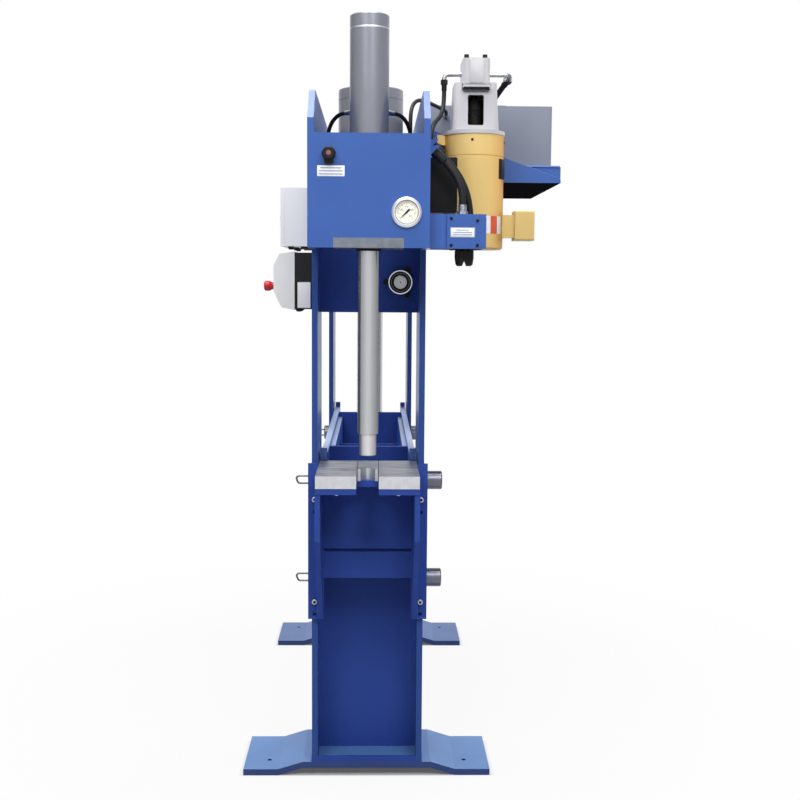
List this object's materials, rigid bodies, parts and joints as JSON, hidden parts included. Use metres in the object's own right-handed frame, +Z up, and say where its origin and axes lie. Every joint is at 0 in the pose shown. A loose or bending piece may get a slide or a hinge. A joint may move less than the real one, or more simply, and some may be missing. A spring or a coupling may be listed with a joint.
{
  "type": "hydraulic workshop press",
  "caption": "Portal-frame hydraulic workshop press with a height-adjustable bed on pins, an overhanging side press with its own table, and a motor pump unit on the head.",
  "frame": {"origin": "on the floor at the centre of the four anchor holes, under the large ram", "axes": "+Z up along the rams, +Y along the frame away from the side press, +X to the side that carries the motor, pump and tank"},
  "size_m": [1.022, 1.8485, 2.311],
  "materials": {
    "frame_blue": "gloss enamel",
    "cylinder_grey": "satin enamel",
    "machined_steel": "ground and turned, bare",
    "chromed_rod": "hard chromed and polished",
    "zinc_screws": "zinc plated",
    "seal_rubber": "matt",
    "black_iron": "blackened",
    "bright_rim": "turned, satin",
    "dial_cream": "matt",
    "pointer_black": "matt",
    "clear_glass": "clear",
    "black_plastic": "moulded, satin",
    "regulator_metal": "machined",
    "motor_yellow": "satin enamel",
    "cast_aluminium": "die cast",
    "coupling_rubber": "matt",
    "tank_grey": "satin enamel",
    "cabinet_light_grey": "fine texture enamel",
    "red_plastic": "moulded",
    "green_plastic": "moulded",
    "hose_rubber": "smooth cover"
  },
  "bodies": {
    "press_frame": {"frame_plate_front": "frame_blue", "frame_plate_rear": "frame_blue", "near_webs": "frame_blue", "far_webs": "frame_blue", "feet": "frame_blue", "head_end_plate": "frame_blue", "bed_side_plates": "frame_blue", "bed_cross_plates": "frame_blue", "cylinder_seats": "frame_blue", "table_bracket": "frame_blue", "valve_box": "frame_blue", "plate_brackets": "frame_blue", "tank_tray": "frame_blue", "main_barrel": "cylinder_grey", "side_barrel": "cylinder_grey", "main_gland": "machined_steel", "side_flange": "machined_steel", "table_blocks": "machined_steel", "hose_fittings": "chromed_rod", "table_screws": "zinc_screws", "rod_seals": "seal_rubber", "bearing_flange": "black_iron", "control_valve": "black_iron", "manifold_blocks": "black_iron", "gauge_case": "bright_rim", "gauge_dial": "dial_cream", "gauge_glass": "clear_glass", "console_back": "black_plastic", "regulator_body": "regulator_metal", "motor_housing": "motor_yellow", "terminal_box": "motor_yellow", "bell_housing": "cast_aluminium", "pump_body": "cast_aluminium", "oil_tank": "tank_grey", "cabinet_box": "cabinet_light_grey", "console_cover": "cabinet_light_grey", "side_hoses": "hose_rubber", "return_hose": "hose_rubber", "pressure_hose": "hose_rubber", "suction_hose": "hose_rubber", "valve_hoses": "hose_rubber"},
    "main_ram": {"main_ram": "chromed_rod", "main_piston": "machined_steel"},
    "side_ram": {"side_ram": "chromed_rod", "side_ram_tip": "chromed_rod"},
    "pin_near_upper": {"pin_near_upper": "machined_steel"},
    "pin_near_lower": {"pin_near_lower": "machined_steel"},
    "pin_far_upper": {"pin_far_upper": "machined_steel"},
    "pin_far_lower": {"pin_far_lower": "machined_steel"},
    "pointer": {"gauge_pointer": "pointer_black"},
    "regulator_knob": {"regulator_knob": "black_plastic"},
    "web_shaft": {"web_shaft": "machined_steel"},
    "selector": {"selector_knob": "black_plastic"},
    "rotor": {"motor_rotor": "machined_steel", "coupling_hubs": "machined_steel", "coupling_spider": "coupling_rubber"},
    "filler_cap": {"filler_cap": "black_plastic"},
    "door": {"cabinet_door": "cabinet_light_grey"},
    "estop": {"estop_button": "red_plastic"},
    "cycle_button": {"cycle_button": "green_plastic"}
  },
  "joints": [
    {"name": "main_ram_slide", "type": "slide", "parent": "press_frame", "child": "main_ram", "axis": [0, 0, 1], "range_m": [0, 0.38]},
    {"name": "side_ram_slide", "type": "slide", "parent": "press_frame", "child": "side_ram", "axis": [0, 0, 1], "range_m": [0, 0.5]},
    {"name": "pin_near_upper_slide", "type": "slide", "parent": "press_frame", "child": "pin_near_upper", "axis": [-1, 0, 0], "range_m": [0, 0.41]},
    {"name": "pin_near_lower_slide", "type": "slide", "parent": "press_frame", "child": "pin_near_lower", "axis": [-1, 0, 0], "range_m": [0, 0.41]},
    {"name": "pin_far_upper_slide", "type": "slide", "parent": "press_frame", "child": "pin_far_upper", "axis": [-1, 0, 0], "range_m": [0, 0.41]},
    {"name": "pin_far_lower_slide", "type": "slide", "parent": "press_frame", "child": "pin_far_lower", "axis": [-1, 0, 0], "range_m": [0, 0.41]},
    {"name": "gauge_pointer_turn", "type": "hinge", "parent": "press_frame", "child": "pointer", "pos_m": [0.107, -1.027, 1.752], "axis": [0, 1, 0], "range_deg": [0, 270], "stiffness_Nm_per_rad": 0.02, "springref_deg": -11.46},
    {"name": "regulator_knob_turn", "type": "hinge", "parent": "press_frame", "child": "regulator_knob", "pos_m": [-0.112, -1.027, 1.913], "axis": [0, 1, 0], "range_deg": [0, 1080]},
    {"name": "web_shaft_spin", "type": "hinge", "parent": "press_frame", "child": "web_shaft", "pos_m": [0.098, -0.659, 1.555], "axis": [0, 1, 0], "continuous": true},
    {"name": "motor_spin", "type": "hinge", "parent": "press_frame", "child": "rotor", "pos_m": [0.333, -0.54, 1.9], "axis": [0, 0, 1], "continuous": true},
    {"name": "filler_cap_turn", "type": "hinge", "parent": "press_frame", "child": "filler_cap", "pos_m": [0.47, -0.04, 2.17], "axis": [0, 0, 1], "range_deg": [0, 45]},
    {"name": "cabinet_door_hinge", "type": "hinge", "parent": "press_frame", "child": "door", "pos_m": [-0.3065, 0.306, 1.78], "axis": [0, 0, -1], "range_deg": [0, 110]},
    {"name": "estop_push", "type": "slide", "parent": "press_frame", "child": "estop", "axis": [1, 0, 0], "range_m": [0, 0.005], "stiffness_N_per_m": 800, "springref_m": -0.002},
    {"name": "cycle_button_push", "type": "slide", "parent": "press_frame", "child": "cycle_button", "axis": [1, 0, 0], "range_m": [0, 0.003], "stiffness_N_per_m": 600, "springref_m": -0.002},
    {"name": "selector_turn", "type": "hinge", "parent": "press_frame", "child": "selector", "pos_m": [0.278, -0.93, 1.63], "axis": [0, 0, 1], "range_deg": [0, 90]}
  ]
}
